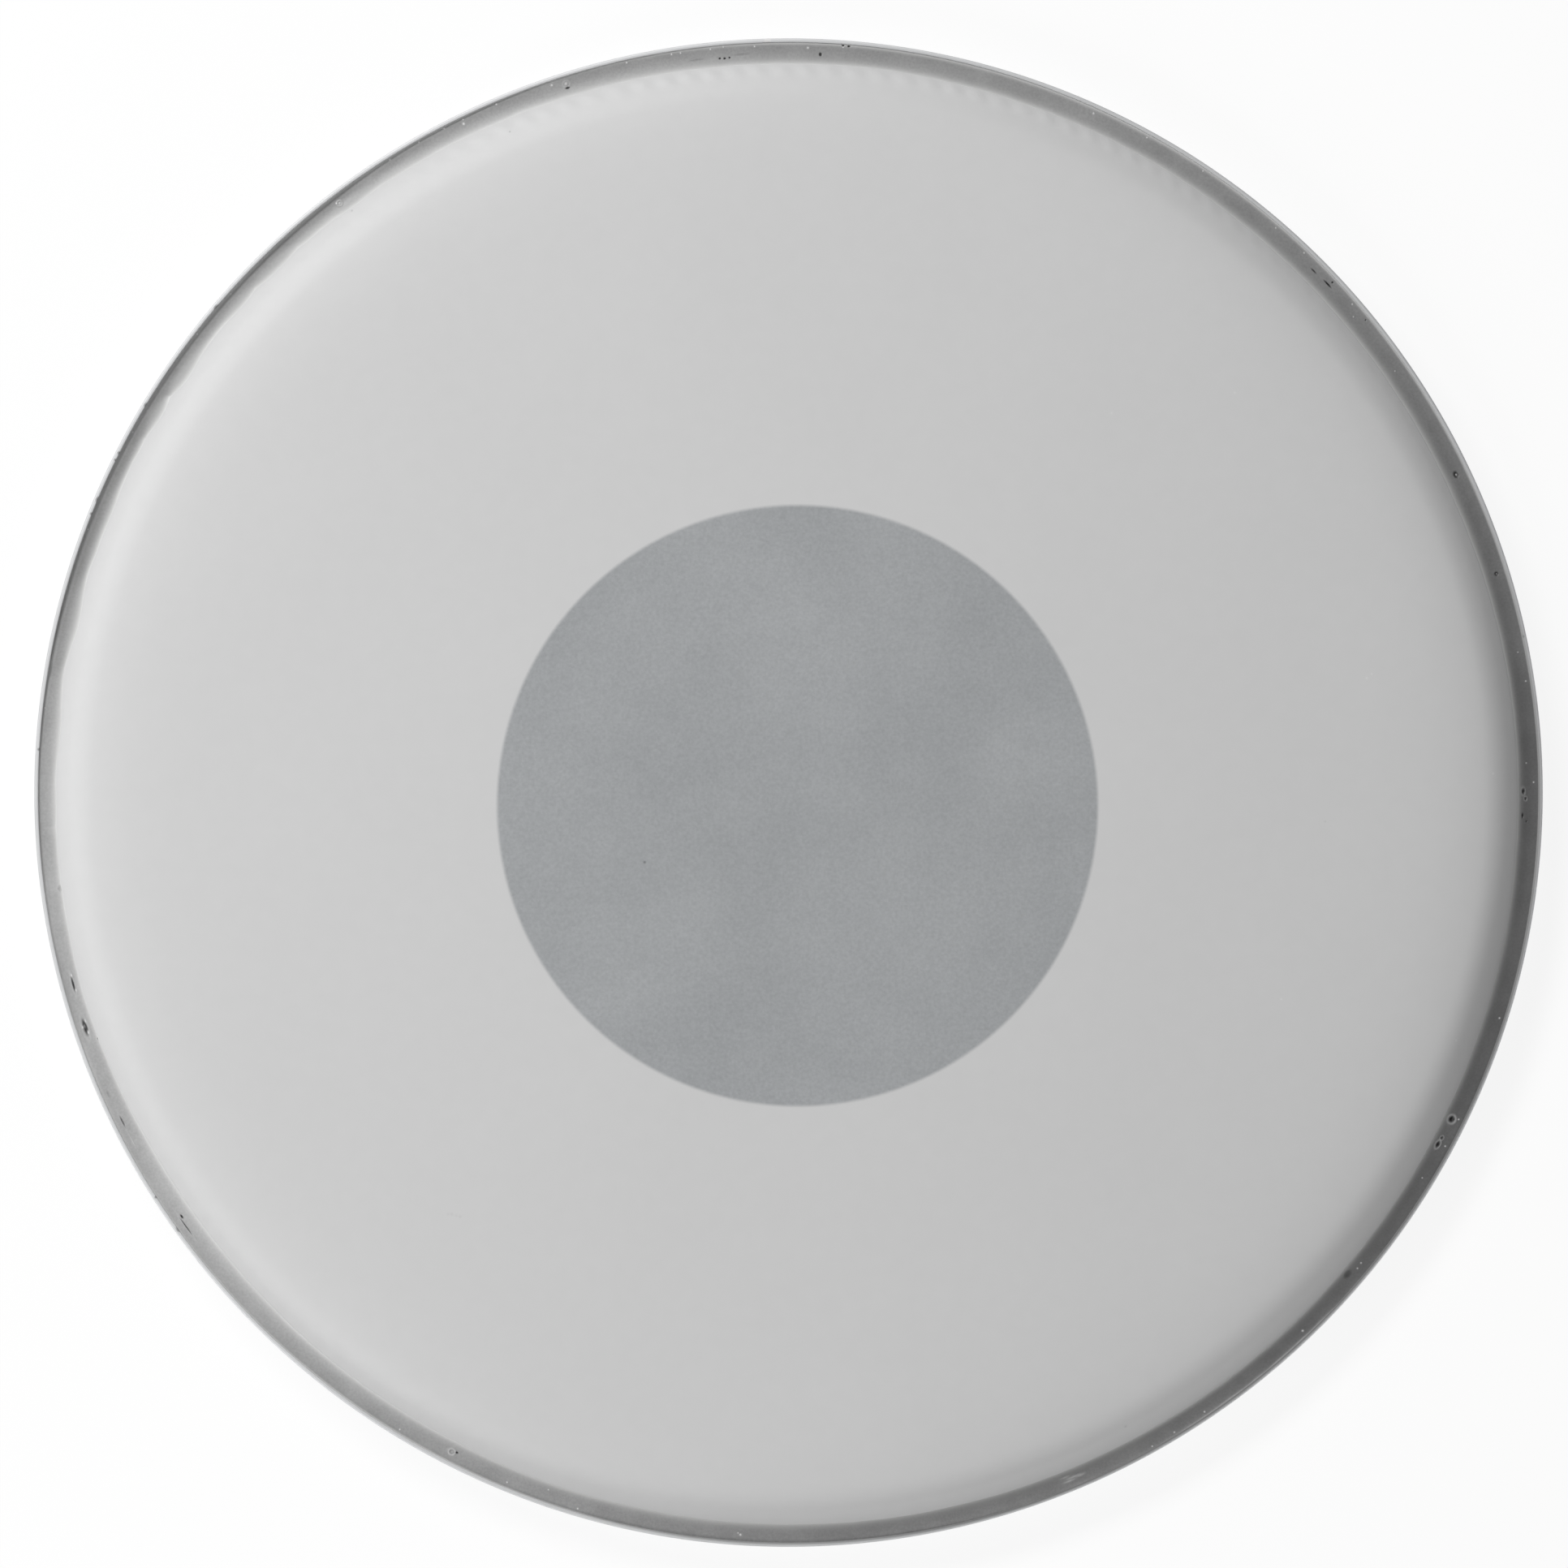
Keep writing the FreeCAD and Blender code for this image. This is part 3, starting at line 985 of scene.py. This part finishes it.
# The same by degrees round the head and pixels in from its outline
edge_marks = [
    Mark(127.3, 16.5, 3.0, 2.8, 0.0, 0.1, 0.1, 0.4),
    Mark(187.5, 24.0, 6.0, 3.2, 0.07, 0.0, 0.0, 0.0),
    Mark(199.6, 26.8, 1.7, 1.6, 0.25, 0.0, 0.0, 0.0),
    Mark(198.9, 17.4, 4.4, 1.8, 0.0, 0.0, 0.1, 0.9),
    Mark(198.4, 13.0, 3.2, 2.2, 0.0, 0.0, 0.1, 0.9),
    Mark(198.0, 18.3, 4.0, 1.6, 0.0, 0.0, 0.05, 0.7),
    Mark(194.3, 17.4, 3.4, 1.6, 0.0, 0.0, 0.05, 0.8),
    Mark(195.5, 18.2, 3.4, 1.6, 0.0, 0.0, 0.05, 0.8),
    Mark(292.2, 13.2, 15.0, 2.4, 0.0, 0.0, 0.05, 0.4),
    Mark(292.6, 16.2, 18.0, 2.4, 0.0, 0.0, 0.05, 0.45),
    Mark(292.0, 19.4, 12.0, 2.2, 0.0, 0.0, 0.04, 0.35),
    Mark(293.2, 14.6, 10.0, 2.2, 0.0, 0.0, 0.04, 0.35),
    Mark(203.9, 13.0, 9.0, 2.2, 0.05, 0.0, 0.0, 0.0),
    Mark(208.0, 14.0, 19.0, 0.9, 0.0, 0.0, 0.03, 0.35),
    Mark(93.6, 18.5, 12.0, 1.8, 0.06, 0.0, 0.0, 0.0),
    Mark(97.1, 20.0, 12.0, 1.8, 0.06, 0.0, 0.0, 0.0),
    Mark(39.3, 10.4, 1.5, 1.5, 0.2, 0.0, 0.0, 0.0),
]

# White specks, tiny bubbles whose paleness is a painted highlight: degrees round the head, pixels in from
# its outline, and half size in pixels
Speck = namedtuple("Speck", "angle depth reach")
resin_highlight_specks = [
    Speck(0.8, 11.3, 1.6), Speck(2.3, 19.8, 1.4), Speck(8.6, 10.7, 1.6), Speck(10.9, 14.3, 1.3),
    Speck(34.8, 19.5, 1.3), Speck(40.1, 19.5, 1.4), Speck(40.9, 10.4, 1.6), Speck(46.3, 9.8, 1.6),
    Speck(49.2, 10.4, 1.5), Speck(56.3, 8.9, 1.5), Speck(61.3, 9.5, 1.7), Speck(65.8, 12.2, 2.2),
    Speck(85.8, 8.6, 1.8), Speck(88.5, 11.6, 2.4), Speck(92.6, 9.2, 1.7), Speck(95.0, 7.5, 1.3),
    Speck(96.0, 8.6, 1.7), Speck(98.3, 8.6, 1.7), Speck(99.0, 8.6, 1.7), Speck(102.5, 8.3, 1.7),
    Speck(108.5, 10.4, 2.2), Speck(113.0, 8.0, 1.8), Speck(115.8, 8.0, 1.6), Speck(115.9, 13.4, 2.6),
    Speck(117.4, 7.5, 1.7), Speck(119.6, 7.4, 1.7), Speck(122.2, 7.6, 2.2), Speck(127.5, 14.0, 1.8),
    Speck(138.2, 7.2, 1.6), Speck(142.2, 7.2, 1.6), Speck(151.2, 7.0, 1.5), Speck(159.4, 7.0, 1.5),
    Speck(173.5, 7.2, 1.4), Speck(238.6, 10.1, 1.6), Speck(247.8, 11.6, 1.7), Speck(251.0, 21.0, 1.5),
    Speck(253.6, 9.5, 1.9), Speck(266.3, 13.0, 2.4), Speck(266.1, 15.0, 1.5), Speck(299.1, 7.6, 1.6),
    Speck(301.1, 8.9, 1.7), Speck(303.9, 10.1, 1.9), Speck(313.7, 12.2, 2.4), Speck(320.1, 15.6, 1.7),
    Speck(320.6, 16.5, 1.7), Speck(328.7, 15.6, 1.4), Speck(331.7, 10.4, 1.7), Speck(334.0, 10.7, 1.8),
    Speck(342.4, 10.4, 1.8),
]
# Height of a speck's bump, and how pale its painted highlight is
speck_height = 0.1
speck_highlight = 1.0

# Shape of a mark, in shares of its half size: where its rim stands, how wide rim and lump are, and
# how far it reaches; how deep a pit is fully dark with painted shade and how steeply that ends, and how
# pale a painted highlight makes a rim
rim_place = 1.2
rim_width = 0.3
lump_width = 0.5
mark_reach = 1.8
full_shade_depth = 0.3
shade_steepness = 1.6
rim_highlight_paleness = 2.0

# Columns of the resin's mesh at a mark, to each side: how far they go, in shares of its half length,
# and how many there are at a mark of more than the stated half length, and at a shorter one
mark_span = 1.6
long_mark = 0.5
long_mark_steps = 9
short_mark_steps = 5

# Whole degrees to each side of its own in which a mark is looked for
mark_degrees = 2

Blemish = namedtuple("Blemish", "angle radius along across depth rim core pale")


def blemish(place, mark):
    """A mark of the resin, by its angle and radius and in millimetres."""
    along = mark.along * mm_per_pixel
    across = mark.across * mm_per_pixel
    return Blemish(heading(place), place.length, along, across, mark.depth, mark.rim, mark.core, mark.pale)


def highlight_speck_mark(speck):
    """A speck as a mark near the outline: a small lump made pale as a painted highlight."""
    return Mark(speck.angle, speck.depth, speck.reach, speck.reach, 0.0, 0.0, speck_height, speck_highlight)


def all_blemishes():
    """Every bubble, pit and speck of the resin."""
    found = [blemish(on_part(mark.x, mark.y), mark) for mark in resin_marks]
    near_outline = edge_marks + [highlight_speck_mark(speck) for speck in resin_highlight_specks]
    found += [blemish(inward_place(mark.x, mark.y), mark) for mark in near_outline]
    return found


def by_degree(marks):
    """The marks that may reach each whole degree round the head."""
    found = defaultdict(list)
    for mark in marks:
        middle = math.floor(math.degrees(mark.angle))
        for step in range(-mark_degrees, mark_degrees + 1):
            found[(middle + step) % 360].append(mark)
    return found


blemishes = all_blemishes()
near_blemishes = by_degree(blemishes)


def relief(radius, angle):
    """Lift of the resin's face that its marks give a place, the darkness of painted shade in its pits and
    the paleness of painted highlights on rims and lumps.
    """
    lift = dark = pale = 0.0
    for mark in near_blemishes[math.floor(math.degrees(angle)) % 360]:
        along = mark.radius * turn_between(mark.angle, angle) / mark.along
        across = (radius - mark.radius) / mark.across
        away = math.hypot(along, across)
        if away > mark_reach:
            continue
        pit = max(0, 1 - away ** 2)
        ring = math.exp(-((away - rim_place) / rim_width) ** 2)
        middle = math.exp(-(away / lump_width) ** 2)
        lift += mark.rim * ring + mark.core * middle - mark.depth * pit ** 2
        # Painted shade: the deeper a pit, the darker its colour
        depth_share = min(mark.depth / full_shade_depth, 1)
        dark += depth_share * smooth(shade_steepness * (1 - away)) * (1 - middle * mark.pale)
        # Painted highlights: rims and lumps are made pale
        pale += mark.pale * middle + rim_highlight_paleness * mark.rim * ring
    return lift, min(dark, 1), min(pale, 1)


def resin_top(share, angle):
    """A point of the resin's face, at a share of the way from the film to the lip."""
    start, film_height = slope_point(film_line(angle), resin_sink)
    width = channel_outer_radius - start
    level = min(resin_height(angle), film_height - least_climb)
    climb = film_height - level
    steepest = steepest_share * math.tan(soft_slope) * width * film_side_share / climb
    film_pull = max(0, 1 - share / film_side_share) ** min(climb_power, steepest)
    lip_pull = max(0, 1 - (1 - share) / lip_side_share) ** climb_power
    return start + width * share, level + climb * film_pull + (lip_line(angle) - level) * lip_pull


def resin_thinness_and_painted_light(radius, height, angle):
    """How far film or lip show through the resin at a point of its face, from 0 to 1; along the lip this
    paleness is partly painted light, where the lip's edge catches the lamps and over the lip's shadow.
    """
    over_film = math.exp(-max(0, height - slope_height(radius)) / by_angle(clear_depths, angle))
    from_lip = (channel_outer_radius - radius) / by_angle(lip_clear_and_lit_widths, angle)
    over_lip = by_angle(lip_clear_and_lit_shares, angle) * math.exp(-from_lip ** 2)
    return max(over_film, over_lip)


def resin_face_row(share):
    """A row of the resin's face with its marks."""
    def row(angle):
        radius, height = resin_top(share, angle)
        return radius, height + relief(radius, angle)[0]

    return row


def resin_hidden_path():
    """The casting under its face: round the channel and both sides of the skirt."""
    under_level = inner_wall_top() - lip_round_share * inner_wall
    side_level = resin_level - resin_side_drop
    corners = [
        (channel_outer_radius, side_level, 0),
        (channel_outer_radius, hoop_floor, channel_bend_radius),
        (channel_inner_radius, hoop_floor, channel_bend_radius),
        (channel_inner_radius, under_level, 0),
        (*collar_point(under_level, film_thickness), 0),
        (*skirt_corner(film_thickness), skirt_bend_radius),
        (skirt_radius - film_thickness, skirt_bottom, 0),
        (skirt_radius, skirt_bottom, 0),
        (*skirt_corner(0.0), skirt_bend_radius + film_thickness),
        (*collar_point(side_level), 0),
    ]
    return rounded_path(corners)


def resin_tone_with_painted_light(angle):
    """How light the resin is at an angle: painted light and shade from its table, with a little random
    tone.
    """
    return by_angle(resin_greys_with_painted_light, angle) + resin_tone_wander * wander(angle, tone_drift)


def resin_angles():
    """Angles round the resin, closer at each mark."""
    angles = edge_angles()
    for mark in blemishes:
        steps = long_mark_steps if mark.along > long_mark else short_mark_steps
        for step in range(-steps, steps + 1):
            angles.append((mark.angle + step / steps * mark_span * mark.along / mark.radius) % full_turn)
    return sorted(set(angles))


def make_resin():
    """The casting that holds the film in the channel."""
    angles = resin_angles()
    shares = [row / resin_rows for row in range(resin_rows + 1)]
    rows = [resin_face_row(share) for share in shares] + fixed(resin_hidden_path())
    points, rings = sweep_grid(rows, angles)
    resin = make_piece("resin", points, ring_faces(rings, True), resin_look(), "resin_fill")
    dark = [0.0] * len(points)
    pale = [0.0] * len(points)
    thin = [0.0] * len(points)
    # Each point's tone: the resin's grey by angle, with painted light and shade
    tone = [resin_tone_with_painted_light(angle) for _ in rows for angle in angles]
    for share, ring in zip(shares, rings):
        for angle, point in zip(angles, ring):
            radius, height = resin_top(share, angle)
            _, dark[point], pale[point] = relief(radius, angle)
            # Paleness of thin resin, with painted light along the lip
            thin[point] = resin_thinness_and_painted_light(radius, height, angle)
    set_values(resin, "dark", dark)
    set_values(resin, "pale", pale)
    set_values(resin, "thin", thin)
    set_values(resin, "tone", tone)


# Studio: floor, lamps and camera

# Floor and backdrop: the floor's side in metres, the share of it that glows white when it is seen,
# its grey for the light that it throws on the head, and the level of the even light all round
floor_size = 24.0
floor_white_share = 0.87
floor_bounce = 0.86
world_level = 0.135

# Softboxes: places and sizes in metres, and how bright each is
Softbox = namedtuple("Softbox", "name place width height radiance")
softboxes = [
    Softbox("upper_left_softbox", (-0.735, 1.07, 1.17), 1.1, 0.42, 16.2),
    Softbox("lower_left_softbox", (-0.71, -0.735, 0.63), 0.67, 0.5, 5.75),
    Softbox("lower_right_softbox", (1.34, -1.262, 0.25), 0.82, 0.53, 4.8),
]


def make_floor():
    """A white floor that shows the head's shadow."""
    half = floor_size / 2
    mesh = bpy.data.meshes.new("floor")
    corners = [(-half, -half, 0), (half, -half, 0), (half, half, 0), (-half, half, 0)]
    mesh.from_pydata(corners, [], [(0, 1, 2, 3)])
    look = Look("white_floor")
    rays = look.nodes.new("ShaderNodeLightPath").outputs
    seen = look.maths("MAXIMUM", rays["Is Camera Ray"], rays["Is Glossy Ray"])
    seen = look.maths("MAXIMUM", seen, rays["Is Transmission Ray"])
    share = look.maths("MULTIPLY", seen, floor_white_share)
    paper = look.mix(seen, grey(floor_bounce), grey(1))
    matt = look.add("ShaderNodeBsdfDiffuse", 0, {"Color": paper})
    white = look.add("ShaderNodeEmission", 0, {"Color": grey(1), "Strength": 1.0})
    lit = look.add("ShaderNodeMixShader", 0, {0: share, 1: matt, 2: white})
    look.join(lit, look.nodes["Material Output"].inputs["Surface"])
    look.nodes.remove(look.shader)
    mesh.materials.append(look.material)
    floor = bpy.data.objects.new("floor", mesh)
    bpy.context.scene.collection.objects.link(floor)


def make_lamps():
    """Weak even light all round, two softboxes on the left and a fill on the right."""
    world = bpy.data.worlds.new("studio")
    world.use_nodes = True
    backdrop = world.node_tree.nodes["Background"]
    backdrop.inputs["Color"].default_value = grey(1)
    backdrop.inputs["Strength"].default_value = world_level
    bpy.context.scene.world = world
    for box in softboxes:
        lamp = bpy.data.lights.new(box.name, "AREA")
        lamp.shape = "RECTANGLE"
        lamp.size = box.width
        lamp.size_y = box.height
        lamp.energy = box.radiance * math.pi * box.width * box.height
        stand = bpy.data.objects.new(box.name, lamp)
        stand.location = box.place
        stand.rotation_euler = (-Vector(box.place)).to_track_quat("-Z", "Y").to_euler()
        bpy.context.scene.collection.objects.link(stand)


lens_length = 200.0
sensor_width = 36.0


def make_camera():
    """The photograph's view, from straight above with a long lens."""
    middle = on_part(photo_size / 2, photo_size / 2)
    frame_width = photo_size * mm_per_pixel
    distance = frame_width * lens_length / sensor_width
    camera = bpy.data.cameras.new("camera")
    camera.lens = lens_length
    camera.sensor_width = sensor_width
    stand = bpy.data.objects.new("camera", camera)
    stand.location = Vector((*middle, hoop_height + distance)) * metres_per_mm
    bpy.context.scene.collection.objects.link(stand)
    bpy.context.scene.camera = stand


make_hoop()
make_weld()
make_film()
make_coating()
make_dot()
make_resin()
make_floor()
make_lamps()
make_camera()
bpy.context.scene.view_settings.view_transform = "Standard"
